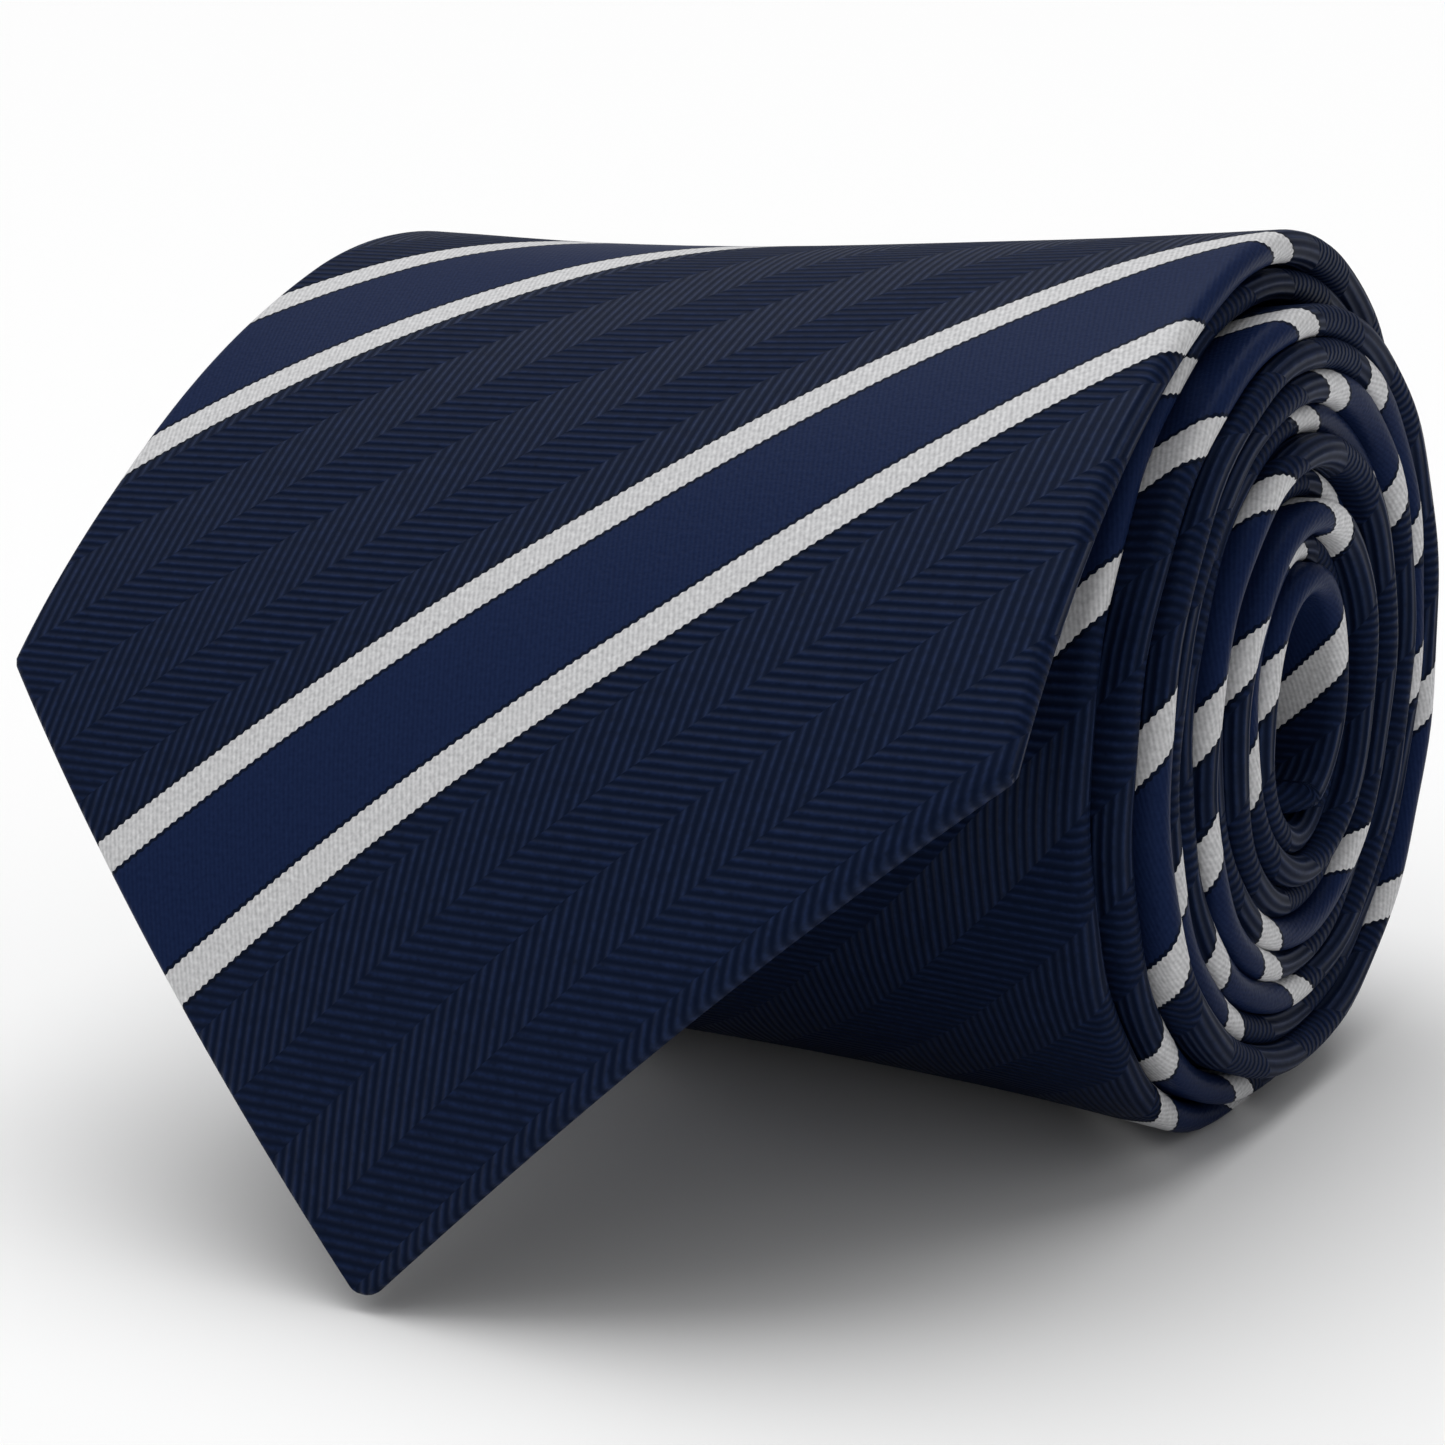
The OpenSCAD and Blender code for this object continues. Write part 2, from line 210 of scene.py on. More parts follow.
def silk_mesh(name, distances, cut=(0, 0)):
    """A folded panel between the first and the last distance. cut is the slant of its two
    ends: 0 runs straight across the cloth and 1 at 45 degrees."""
    s = np.asarray(distances)[:, None]
    half, size, gap = half_width(s), fold_size(s), slit_half(s)
    inner_half = half - size
    across = np.linspace(0, 1, 10)
    round_fold = np.linspace(0, 1, 9)[1:-1]
    # The right half of the panel's outline: u, n, the distance over the cloth from the middle of
    # the front, and 1 on the front, -1 on the back or 0 in the round fold
    right = []
    for share in across:
        right.append((inner_half * share, None, inner_half * share, 1))
    for share in round_fold:
        turned = pi / 2 - pi * share
        right.append((inner_half + size * cos(turned), size * sin(turned),
                      inner_half + size * pi * share, 0))
    for share in across[::2]:
        u = inner_half + (gap - inner_half) * share
        right.append((u, None, 2 * inner_half + pi * size - u, -1))
    outline = [(-u, n, -along, side) for u, n, along, side in right[:0:-1]] + right
    layers, cloths = [], []
    for depth in (0, 1):
        layer, cloth = [], []
        for u, n, along, side in outline:
            if side:
                n = side * (half_thickness(s, u) - depth * silk_thickness)
            else:
                shrink = 1 - depth * np.minimum(silk_thickness / np.maximum(size, 1e-6), 0.6)
                centre = np.sign(u) * inner_half
                u, n = centre + (u - centre) * shrink, n * shrink
            sheared = s + u * (
                cut[0] * (1 - ease(s, distances[0], distances[0] + slant_reach))
                + cut[1] * ease(s, distances[-1] - slant_reach, distances[-1]))
            layer.append(place(sheared, u + 0 * s, n + 0 * s)[:, 0])
            beyond = np.clip(np.abs(along) - half, 0, None)
            pointed = s < point_length
            tail = s > tie_length - tail_point
            u_cloth = np.where(pointed | tail, np.clip(along, -half, half), along)
            s_cloth = sheared + np.where(pointed, -beyond, np.where(tail, beyond, 0))
            s_cloth = s_cloth + stripe_drift(sheared)
            cloth.append(np.stack([u_cloth[:, 0] + 0 * s[:, 0], s_cloth[:, 0]], -1))
        layers.append(layer)
        cloths.append(cloth)
    return cloth_object(name, np.stack(layers[0] + layers[1][::-1], 1),
                        np.stack(cloths[0] + cloths[1][::-1], 1))


def cloth_object(name, points, flat):
    """A closed layer of cloth with a map of the flat cloth. Its rings run over one face of the
    cloth and back over the other."""
    rings, count = points.shape[:2]
    faces = []
    for k in range(rings - 1):
        for j in range(count):
            a, b = k * count + j, k * count + (j + 1) % count
            faces.append((a, b, b + count, a + count))
    for start in (0, (rings - 1) * count):
        for j in range(count // 2 - 1):
            faces.append((start + j, start + j + 1, start + count - 2 - j, start + count - 1 - j))
    points, flat = points.reshape(-1, 3), flat.reshape(-1, 2)
    mesh = bpy.data.meshes.new(name)
    mesh.from_pydata([tuple(p) for p in points], [], faces)
    bm = bmesh.new()
    bm.from_mesh(mesh)
    bmesh.ops.recalc_face_normals(bm, faces=bm.faces)
    bm.to_mesh(mesh)
    bm.free()
    mesh.polygons.foreach_set("use_smooth", [True] * len(mesh.polygons))
    layer = mesh.uv_layers.new(name="flat_cloth")
    corners = np.zeros(len(mesh.loops), int)
    mesh.loops.foreach_get("vertex_index", corners)
    layer.data.foreach_set("uv", flat[corners].astype(np.float32).ravel())
    mesh.set_sharp_from_angle(angle=radians(50))
    piece = bpy.data.objects.new(name, mesh)
    bpy.context.scene.collection.objects.link(piece)
    return piece


# The silk is woven in navy: a ground in herringbone, then a smooth satin band between two
# thin silver stripes, again and again. It is cut on the slant, so they run at about 45 degrees.
stripe_period, silver_width = 47.3 * mm, 2.75 * mm
stripe_places = (26.7 * mm, 39.0 * mm)
stripe_slope = radians(46)
herringbone_band, rib_pitch, twill_pitch = 5.4 * mm, 0.78 * mm, 0.38 * mm
thread_step, outline_width = 0.34 * mm, 0.3 * mm


def calc(tree, operation, *inputs):
    node = tree.nodes.new("ShaderNodeMath")
    node.operation = operation
    for socket, value in zip(node.inputs, inputs):
        if isinstance(value, (int, float)):
            socket.default_value = value
        else:
            tree.links.new(value, socket)
    return node.outputs[0]


def mix_colour(tree, share, first_colour, second_colour):
    node = tree.nodes.new("ShaderNodeMix")
    node.data_type = "RGBA"
    for socket, value in ((node.inputs[0], share), (node.inputs[6], first_colour),
                          (node.inputs[7], second_colour)):
        if isinstance(value, (int, float)):
            socket.default_value = value
        elif isinstance(value, tuple):
            socket.default_value = (*value, 1)
        else:
            tree.links.new(value, socket)
    return node.outputs[2]


def new_material(name):
    material = bpy.data.materials.new(name)
    material.use_nodes = True
    return material, material.node_tree, material.node_tree.nodes["Principled BSDF"]


def flat_place(tree):
    """The place on the flat cloth, as a vector and as the distances across it and along it."""
    flat = tree.nodes.new("ShaderNodeUVMap")
    flat.uv_map = "flat_cloth"
    split = tree.nodes.new("ShaderNodeSeparateXYZ")
    tree.links.new(flat.outputs[0], split.inputs[0])
    return flat.outputs[0], split.outputs[0], split.outputs[1]


def noise(tree, where, scale, detail):
    node = tree.nodes.new("ShaderNodeTexNoise")
    node.inputs["Scale"].default_value = scale
    node.inputs["Detail"].default_value = detail
    tree.links.new(where, node.inputs["Vector"])
    return node.outputs[0]


def add_relief(tree, shader, height, depth, strength):
    bump = tree.nodes.new("ShaderNodeBump")
    bump.inputs["Strength"].default_value = strength
    bump.inputs["Distance"].default_value = depth
    tree.links.new(height, bump.inputs["Height"])
    tree.links.new(bump.outputs[0], shader.inputs["Normal"])


def silk_material(name, shift):
    """shift is how far this panel's stripes lie from the blade's own."""
    material, tree, shader = new_material(name)
    flat, u, v = flat_place(tree)
    across = calc(tree, "ADD", calc(tree, "SUBTRACT", calc(tree, "MULTIPLY", v, cos(stripe_slope)),
                                    calc(tree, "MULTIPLY", u, sin(stripe_slope))), shift)
    along = calc(tree, "ADD", calc(tree, "MULTIPLY", v, sin(stripe_slope)),
                 calc(tree, "MULTIPLY", u, cos(stripe_slope)))
    wrapped = calc(tree, "FLOORED_MODULO", across, stripe_period)
    # Loose threads make everything a little uneven
    fine, broad, grain = [noise(tree, flat, scale, detail)
                          for scale, detail in ((900, 2), (45, 3), (2600, 1))]
    # Silver stripes, whose edges step from thread to thread
    tooth = calc(tree, "MULTIPLY", calc(tree, "PINGPONG", along, thread_step), 0.45)
    near = calc(tree, "MINIMUM", *[calc(tree, "ABSOLUTE", calc(tree, "SUBTRACT", wrapped, stripe))
                                   for stripe in stripe_places])
    reach = calc(tree, "SUBTRACT", calc(tree, "ADD", near, tooth), silver_width / 2 + 0.07 * mm)
    silver = calc(tree, "LESS_THAN", reach, 0)
    outline = calc(tree, "MULTIPLY", calc(tree, "LESS_THAN", reach, outline_width),
                   calc(tree, "SUBTRACT", 1, silver))
    satin = calc(tree, "MULTIPLY", calc(tree, "GREATER_THAN", wrapped, stripe_places[0]),
                 calc(tree, "LESS_THAN", wrapped, stripe_places[1]))
    smooth = calc(tree, "MAXIMUM", silver, satin)
    ground = calc(tree, "SUBTRACT", 1, smooth)
    # Herringbone ribs, upright and level by turns
    bands = calc(tree, "DIVIDE", calc(tree, "SUBTRACT", across, stripe_places[1]),
                 herringbone_band)
    turned = calc(tree, "LESS_THAN", calc(tree, "FLOORED_MODULO", bands, 2), 1)
    wave = [calc(tree, "SINE", calc(tree, "MULTIPLY", axis, 2 * pi / rib_pitch))
            for axis in (u, v)]
    rib = calc(tree, "ADD", calc(tree, "MULTIPLY", wave[0], turned),
               calc(tree, "MULTIPLY", wave[1], calc(tree, "SUBTRACT", 1, turned)))
    rib = calc(tree, "MULTIPLY", calc(tree, "ADD", rib, 1), 0.5)
    rib = calc(tree, "POWER", rib, 1.2)
    # Fine twill of the satin and the silver, broken up into single floating threads
    steep = calc(tree, "ADD", calc(tree, "MULTIPLY", u, 0.95), calc(tree, "MULTIPLY", v, 0.32))
    fine_weave = calc(tree, "SINE", calc(tree, "MULTIPLY", steep, 2 * pi / twill_pitch))
    fine_weave = calc(tree, "MULTIPLY", calc(tree, "ADD", fine_weave, 1), 0.5)
    speck = calc(tree, "MULTIPLY", calc(tree, "SUBTRACT", grain, 0.3), 2.2)
    fine_weave = calc(tree, "ADD", calc(tree, "MULTIPLY", fine_weave, 0.4),
                      calc(tree, "MULTIPLY", speck, 0.6))
    # Colours
    broken = calc(tree, "MULTIPLY", calc(tree, "SUBTRACT", fine, 0.2), 1.6)
    broken = calc(tree, "ADD", calc(tree, "MULTIPLY", speck, 0.5), broken)
    # The ribs' crests are painted light and the grooves between them painted shade on the navy
    # ground, and the loose threads break this up unevenly
    rib_shade_and_threads = calc(tree, "MULTIPLY", rib, broken)
    navy = mix_colour(tree, rib_shade_and_threads, (0.0036, 0.0070, 0.0205), (0.0105, 0.0200, 0.0610))
    navy = mix_colour(tree, calc(tree, "MULTIPLY", broad, 0.25), navy,
                      (0.0075, 0.0140, 0.0400))
    blue = mix_colour(tree, fine_weave, (0.0062, 0.0130, 0.0465), (0.0104, 0.0205, 0.0665))
    grey = mix_colour(tree, fine_weave, (0.44, 0.44, 0.45), (0.86, 0.86, 0.87))
    grey = mix_colour(tree, calc(tree, "MULTIPLY", fine, 0.5), grey, (0.56, 0.56, 0.57))
    colour = mix_colour(tree, satin, navy, blue)
    colour = mix_colour(tree, calc(tree, "MULTIPLY", outline, 0.8), colour,
                        (0.0030, 0.0050, 0.0120))
    colour = mix_colour(tree, silver, colour, grey)
    tree.links.new(colour, shader.inputs["Base Color"])
    tree.links.new(calc(tree, "ADD", calc(tree, "MULTIPLY", ground, 0.10), 0.40),
                   shader.inputs["Roughness"])
    # The upright ribs catch the light from above, and the level ones don't
    shine = calc(tree, "MULTIPLY", calc(tree, "MULTIPLY", turned, rib), ground)
    shine = calc(tree, "ADD", calc(tree, "MULTIPLY", shine, 0.2), 0.08)
    tree.links.new(shine, shader.inputs["Specular IOR Level"])
    shader.inputs["IOR"].default_value = 1.3
    shader.inputs["Specular Tint"].default_value = (0.5, 0.68, 1.0, 1)
    # Relief
    relief = calc(tree, "ADD", calc(tree, "MULTIPLY", rib, ground),
                  calc(tree, "MULTIPLY", calc(tree, "MULTIPLY", fine_weave, smooth), 0.2))
    relief = calc(tree, "ADD", relief, calc(tree, "MULTIPLY", fine, 0.18))
    add_relief(tree, shader, relief, depth=0.15 * mm, strength=0.8)
    return material


def spaced(start, end, step_start, step_end):
    """Distances from start to end, whose spacing goes from one step to another."""
    count = max(int(2 * (end - start) / (step_start + step_end)), 2)
    share = np.linspace(0, 1, count + 1)
    bend = (step_end - step_start) / (step_end + step_start)
    return start + (end - start) * ((1 - bend) * share + bend * share * share)


# The blade's panel is made in two meshes that meet under the roll's back: the hanging end
# with the turn that it hangs from, and the rest.
under_back = 176 * mm
neck_seam, tail_seam = 660 * mm, 1010 * mm


# Rings close together draw the rounded tip, from where it is hardly wider than nothing
tip_rings = tip_round * np.array([0.4243, 0.5, 0.6, 0.72, 0.9, 1.2])
first_rings = np.concatenate([
    tip_rings,
    spaced(2.7 * mm, point_length - 0.3 * mm, 0.7 * mm, 1.2 * mm),
    spaced(point_length + 0.3 * mm, under_back, 1.0 * mm, 1.4 * mm)])
blade_end = silk_mesh("blade_end_cloth", first_rings)
blade_end.data.materials.append(silk_material("blade_silk_weave", shift=0))
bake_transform(blade_end)
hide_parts("blade_end_silk")

blade_wound = silk_mesh("blade_cloth", spaced(under_back, neck_seam, 1.4 * mm, 1.3 * mm),
                        (0, slant))
blade_wound.data.materials.append(blade_end.data.materials[0])
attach(blade_wound, "roll")
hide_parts("blade_silk")

neck_cloth = silk_mesh("neck_cloth", spaced(neck_seam, tail_seam, 1.3 * mm, 1.1 * mm),
                       (slant, slant))
neck_cloth.data.materials.append(silk_material("neck_silk_weave", shift=39 * mm))
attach(neck_cloth, "roll")
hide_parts("neck_silk")

tail_cloth = silk_mesh("tail_cloth", np.concatenate([
    spaced(tail_seam, tie_length - tail_point, 1.1 * mm, 0.7 * mm),
    spaced(tie_length - tail_point + 0.5 * mm, tie_length - 2.7 * mm, 0.6 * mm, 0.5 * mm),
    tie_length - tip_rings[::-1]]), (slant, 0))
tail_cloth.data.materials.append(silk_material("tail_silk_weave", shift=20 * mm))
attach(tail_cloth, "roll")
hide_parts("tail_silk")

# ---- Interlining -------------------------------------------------------------------------
# Brushed wool canvas, cut to the inside of the folded silk, gives the tie its body. It lies
# loose between the layers and is one length, shown here as the hanging end and the rest.
wool_inset, tail_wool_inset, loose = 4 * mm, 8 * mm, 0.04 * mm


def strip_mesh(name, distances, half, low, high, columns=11):
    """A flat layer between the folds. half, low and high are functions of the distance and, for
    the last two, of the place across the tie."""
    s = np.asarray(distances)[:, None]
    u = half(s) * np.linspace(-1, 1, columns)[None, :]
    s = s + 0 * u
    size = s.shape
    upper = place(s.ravel(), u.ravel(), high(s, u).ravel()).reshape(*size, 3)
    lower = place(s.ravel(), u.ravel(), low(s, u).ravel()).reshape(*size, 3)
    flat = np.stack([u, s], -1)
    return cloth_object(name, np.concatenate([upper, lower[:, ::-1]], 1),
                        np.concatenate([flat, flat[:, ::-1]], 1))


def inner_face(s, u):
    """Height of the silk's inner face above the middle of the tie."""
    return half_thickness(s, u) - silk_thickness


def inside_half(s, gap, point_gap):
    """Half the width of a layer that keeps a gap from the folds, and one more in the point."""
    return np.maximum(half_width(s) - fold_size(s) - gap
                      - point_gap * (1 - ease(s, 20 * mm, 60 * mm)), 0.6 * mm)


def wool_material():
    material, tree, shader = new_material("brushed_wool")
    where = tree.nodes.new("ShaderNodeTexCoord").outputs["Object"]
    fuzz = noise(tree, where, scale=1500, detail=5)
    threads = tree.nodes.new("ShaderNodeTexWave")
    threads.inputs["Scale"].default_value = 320
    threads.inputs["Distortion"].default_value = 2.5
    tree.links.new(where, threads.inputs["Vector"])
    colour = mix_colour(tree, fuzz, (0.55, 0.50, 0.40), (0.78, 0.74, 0.64))
    colour = mix_colour(tree, calc(tree, "MULTIPLY", threads.outputs[1], 0.3), colour,
                        (0.42, 0.37, 0.29))
    tree.links.new(colour, shader.inputs["Base Color"])
    shader.inputs["Roughness"].default_value = 0.95
    shader.inputs["Sheen Weight"].default_value = 0.4
    add_relief(tree, shader, calc(tree, "ADD", fuzz, threads.outputs[1]), depth=0.1 * mm,
               strength=1)
    return material


wool = wool_material()
lining_thickness = 0.16 * mm
wool_meeting = 100 * mm
wool_parts = []
for name, start, end in (
        ("wool_end", wool_inset + 1.5 * mm, wool_meeting),
        ("wool_canvas", wool_meeting + 0.02 * mm, tie_length - tail_wool_inset)):
    part = strip_mesh(name, spaced(start, end, 2 * mm, 2 * mm),
                      lambda s: inside_half(s, 0.3 * mm, 2.4 * mm),
                      lambda s, u: np.minimum(-inner_face(s, u) + lining_thickness + 3 * loose,
                                              0.02 * mm),
                      lambda s, u: inner_face(s, u) - loose)
    part.data.materials.append(wool)
    wool_parts.append(part)
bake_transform(wool_parts[0])
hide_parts("blade_end_interlining")
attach(wool_parts[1], "roll")
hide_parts("interlining")

# ---- Linings -----------------------------------------------------------------------------
# Smooth navy satin with a fine slanting grain. The blade's lining is laid in its point before
# the silk is folded over it, and shows between the hems. The tail's is a short facing over the
# end of its back seam.


def lining_material():
    material, tree, shader = new_material("navy_lining")
    flat, u, v = flat_place(tree)
    slanting = calc(tree, "ADD", u, calc(tree, "MULTIPLY", v, 0.8))
    line = calc(tree, "SINE", calc(tree, "MULTIPLY", slanting, 2 * pi / (0.55 * mm)))
    line = calc(tree, "MULTIPLY", calc(tree, "ADD", line, 1), 0.5)
    cloudy = noise(tree, flat, scale=600, detail=3)
    colour = mix_colour(tree, line, (0.0045, 0.0060, 0.0150), (0.0095, 0.0130, 0.0340))
    colour = mix_colour(tree, calc(tree, "MULTIPLY", cloudy, 0.5), colour,
                        (0.0150, 0.0200, 0.0480))
    tree.links.new(colour, shader.inputs["Base Color"])
    shader.inputs["Roughness"].default_value = 0.5
    shader.inputs["Specular IOR Level"].default_value = 0.12
    add_relief(tree, shader, line, depth=0.05 * mm, strength=0.5)
    return material


navy_lining = lining_material()
lining = strip_mesh("blade_lining", spaced(5.5 * mm, 92 * mm, 1.6 * mm, 1.8 * mm),
                    lambda s: inside_half(s, 1.4 * mm, 3 * mm),
                    lambda s, u: -inner_face(s, u) + loose,
                    lambda s, u: np.minimum(-inner_face(s, u) + loose + lining_thickness,
                                            -0.03 * mm), columns=13)
lining.data.materials.append(navy_lining)
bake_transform(lining)
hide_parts("blade_tipping")

facing = strip_mesh("tail_facing",
                    spaced(tie_length - 42 * mm, tie_length - 10 * mm, 1.2 * mm, 1.2 * mm),
                    lambda s: np.minimum(half_width(s) - 1.6 * mm, 8 * mm),
                    lambda s, u: -half_thickness(s, u) - 0.25 * mm,
                    lambda s, u: -half_thickness(s, u) - 0.05 * mm, columns=9)
facing.data.materials.append(navy_lining)
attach(facing, "roll")
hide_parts("tail_tipping")

# ---- Stitches ----------------------------------------------------------------------------
# Everything is sewn with navy polyester thread. One rule makes every row of stitches: a short
# bowed length of thread at each place, turned to lie along its own direction.


def stitch_rule():
    tree = bpy.data.node_groups.new("stitch_row", "GeometryNodeTree")
    for name, kind, standard in (("Spots", "NodeSocketGeometry", None),
                                 ("Stitch length", "NodeSocketFloat", 2 * mm),
                                 ("Thread radius", "NodeSocketFloat", 0.15 * mm),
                                 ("Bow", "NodeSocketFloat", 0.2 * mm),
                                 ("Seed", "NodeSocketInt", 1),
                                 ("Thread", "NodeSocketMaterial", None)):
        socket = tree.interface.new_socket(name, in_out="INPUT", socket_type=kind)
        if standard is not None:
            socket.default_value = standard
    tree.interface.new_socket("Stitches", in_out="OUTPUT", socket_type="NodeSocketGeometry")
    add, link = tree.nodes.new, tree.links.new
    given, result = add("NodeGroupInput"), add("NodeGroupOutput")
    half = add("ShaderNodeMath")
    half.operation = "MULTIPLY"
    half.inputs[1].default_value = 0.5
    link(given.outputs["Stitch length"], half.inputs[0])
    back = add("ShaderNodeMath")
    back.operation = "MULTIPLY"
    back.inputs[1].default_value = -1
    link(half.outputs[0], back.inputs[0])
    ends = []
    for across, height in ((back.outputs[0], None), (None, given.outputs["Bow"]),
                           (half.outputs[0], None)):
        point = add("ShaderNodeCombineXYZ")
        if across is not None:
            link(across, point.inputs[0])
        if height is not None:
            link(height, point.inputs[2])
        ends.append(point.outputs[0])
    bow = add("GeometryNodeCurveQuadraticBezier")
    bow.inputs["Resolution"].default_value = 4
    for name, end in zip(("Start", "Middle", "End"), ends):
        link(end, bow.inputs[name])
    ring = add("GeometryNodeCurvePrimitiveCircle")
    ring.inputs["Resolution"].default_value = 6
    link(given.outputs["Thread radius"], ring.inputs["Radius"])
    thread = add("GeometryNodeCurveToMesh")
    thread.inputs["Fill Caps"].default_value = True
    link(bow.outputs[0], thread.inputs["Curve"])
    link(ring.outputs["Curve"], thread.inputs["Profile Curve"])
    turned = None
    for attribute, axis, pivot in (("way", "X", "AUTO"), ("outward", "Z", "X")):
        named = add("GeometryNodeInputNamedAttribute")
        named.data_type = "FLOAT_VECTOR"
        named.inputs["Name"].default_value = attribute
        align = add("FunctionNodeAlignRotationToVector")
        align.axis = axis
        align.pivot_axis = pivot
        link(named.outputs["Attribute"], align.inputs["Vector"])
        if turned is not None:
            link(turned, align.inputs["Rotation"])
        turned = align.outputs[0]
    uneven = add("FunctionNodeRandomValue")
    uneven.data_type = "FLOAT"
    uneven.inputs[2].default_value = 0.86
    uneven.inputs[3].default_value = 1.08
    link(given.outputs["Seed"], uneven.inputs["Seed"])
    spread = add("GeometryNodeInstanceOnPoints")
    link(given.outputs["Spots"], spread.inputs["Points"])
    link(thread.outputs[0], spread.inputs["Instance"])
    link(turned, spread.inputs["Rotation"])
    link(uneven.outputs[1], spread.inputs["Scale"])
    real = add("GeometryNodeRealizeInstances")
    link(spread.outputs[0], real.inputs[0])
    smooth = add("GeometryNodeSetShadeSmooth")
    link(real.outputs[0], smooth.inputs[0])
    finish = add("GeometryNodeSetMaterial")
    link(smooth.outputs[0], finish.inputs["Geometry"])
    link(given.outputs["Thread"], finish.inputs["Material"])
    link(finish.outputs[0], result.inputs[0])
    return tree


def thread_material():
    material, tree, shader = new_material("navy_thread")
    twist = tree.nodes.new("ShaderNodeTexWave")
    twist.bands_direction = "DIAGONAL"
    twist.inputs["Scale"].default_value = 1100
    twist.inputs["Distortion"].default_value = 1
    tree.links.new(tree.nodes.new("ShaderNodeTexCoord").outputs["Object"], twist.inputs["Vector"])
    strand = twist.outputs[1]
    tree.links.new(mix_colour(tree, strand, (0.010, 0.014, 0.034), (0.030, 0.042, 0.095)),
                   shader.inputs["Base Color"])
    shader.inputs["Roughness"].default_value = 0.5
    add_relief(tree, shader, strand, depth=0.04 * mm, strength=1)
    return material


sewing, navy_thread = stitch_rule(), thread_material()


def sewn(name, s, u, n, turn, length, radius, bow, seed):
    """Stitches at places on the cloth. turn is each stitch's angle from the way of the tie, and
    the threads bow out of the back where n is negative."""
    s, u, n, turn = np.broadcast_arrays(*[np.asarray(a, float) for a in (s, u, n, turn)])
    step = 0.05 * mm
    spots = place(s, u, n)
    lengthwise = place(s + step, u, n) - place(s - step, u, n)
    crosswise = place(s, u + step, n) - place(s, u - step, n)
    lengthwise, crosswise = [step_to / np.linalg.norm(step_to, axis=1)[:, None]
                             for step_to in (lengthwise, crosswise)]
    outward = np.cross(crosswise, lengthwise) * np.where(n < 0, 1, -1)[:, None]
    inside = place(s, u, n * 0)
    outward = outward * np.sign(np.sum(outward * (spots - inside), 1))[:, None]
    way = lengthwise * np.cos(turn)[:, None] + crosswise * np.sin(turn)[:, None]
    mesh = bpy.data.meshes.new(name + "_spots")
    mesh.from_pydata([tuple(p) for p in spots], [], [])
    for attribute, values in (("way", way), ("outward", outward)):
        mesh.attributes.new(attribute, "FLOAT_VECTOR", "POINT").data.foreach_set(
            "vector", values.astype(np.float32).ravel())
    guide = bpy.data.objects.new(name + "_spots", mesh)
    bpy.context.scene.collection.objects.link(guide)
    rule = guide.modifiers.new("stitches", "NODES")
    rule.node_group = sewing
    values = {"Stitch length": length, "Thread radius": radius, "Bow": bow, "Seed": seed,
              "Thread": navy_thread}
    for item in sewing.interface.items_tree:
        if item.in_out == "INPUT" and item.name in values:
            rule[item.identifier] = values[item.name]
    bpy.context.view_layer.update()
    shape = bpy.data.meshes.new_from_object(
        guide.evaluated_get(bpy.context.evaluated_depsgraph_get()))
    for attribute in ("way", "outward"):
        if attribute in shape.attributes:
            shape.attributes.remove(shape.attributes[attribute])
    guide.modifiers.remove(rule)
    bpy.data.objects.remove(guide)
    shape.name = name
    piece = bpy.data.objects.new(name, shape)
    bpy.context.scene.collection.objects.link(piece)
    return piece


rings_a_turn = 24


def wound_distance(ring):
    """Distance from the tip of one of the places that each turn of the roll is counted by."""
    here = leave_radius - turn_pitch * ring / rings_a_turn
    return flap_length + pi * (leave_radius**2 - here**2) / turn_pitch


def nearest_ring(s):
    here = sqrt(leave_radius**2 - (s - flap_length) * turn_pitch / pi)
    return round((leave_radius - here) * rings_a_turn / turn_pitch)


# ---- Lining stitches ---------------------------------------------------------------------
# The hems along the blade's point are felled to the lining by hand, with small slanting
# stitches over the edge of the hem.
hem_s = np.tile(np.concatenate([np.arange(18, 42, 2.3), np.arange(43, 68, 2.6)]) * mm, 2)
hem_side = np.repeat([-1, 1], len(hem_s) // 2)
hem_slope = np.where(hem_s < point_length, pi / 4, np.arctan(
    -(blade_width / 2 - hem_width) / (slit_end - point_length)))
lining_stitches = sewn("hem_stitches", hem_s, hem_side * (slit_half(hem_s) + 0.15 * mm),
                       -half_thickness(hem_s, slit_half(hem_s)) + 0.05 * mm,
                       turn=hem_side * (hem_slope + 1.0), length=1.5 * mm, radius=0.1 * mm,
                       bow=0.12 * mm, seed=3)
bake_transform(lining_stitches)
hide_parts("tipping_seam")

# ---- Panel seams -------------------------------------------------------------------------
# The three panels are joined by machine along 45 degree lines. Only the row of stitches in
# the groove of each seam shows.
for name, node, seam, seed in (("neck_join", "neck_seam", neck_seam, 5),
                               ("tail_join", "tail_seam", tail_seam, 7)):
    reach = float(half_width(seam)) - 1.6 * mm
    seam_u = np.arange(-reach, reach, 1.7 * mm)
    seam_s = seam + slant * seam_u
    faces = [side * (half_thickness(seam_s, seam_u) - 0.02 * mm) for side in (-1, 1)]
    join = sewn(name, np.tile(seam_s, 2), np.tile(seam_u, 2), np.concatenate(faces),
                turn=pi / 4, length=1.5 * mm, radius=0.09 * mm, bow=0.06 * mm, seed=seed)
    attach(join, "roll")
    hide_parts(node)

# ---- Slip stitch -------------------------------------------------------------------------
# One long loose thread closes the back of the tie from tack to tack, so that it can stretch
# and spring back.
slip_s = np.arange(106 * mm, tie_length - 60 * mm, 6.4 * mm)
lean = np.where(np.arange(len(slip_s)) % 2, 0.75, -0.75)
slip = sewn("slip_stitches", slip_s, 0, -half_thickness(slip_s, 0 * slip_s) + 0.05 * mm,
            turn=lean, length=3.4 * mm, radius=0.12 * mm, bow=0.12 * mm, seed=11)
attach(slip, "roll")
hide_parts("slip_stitch")

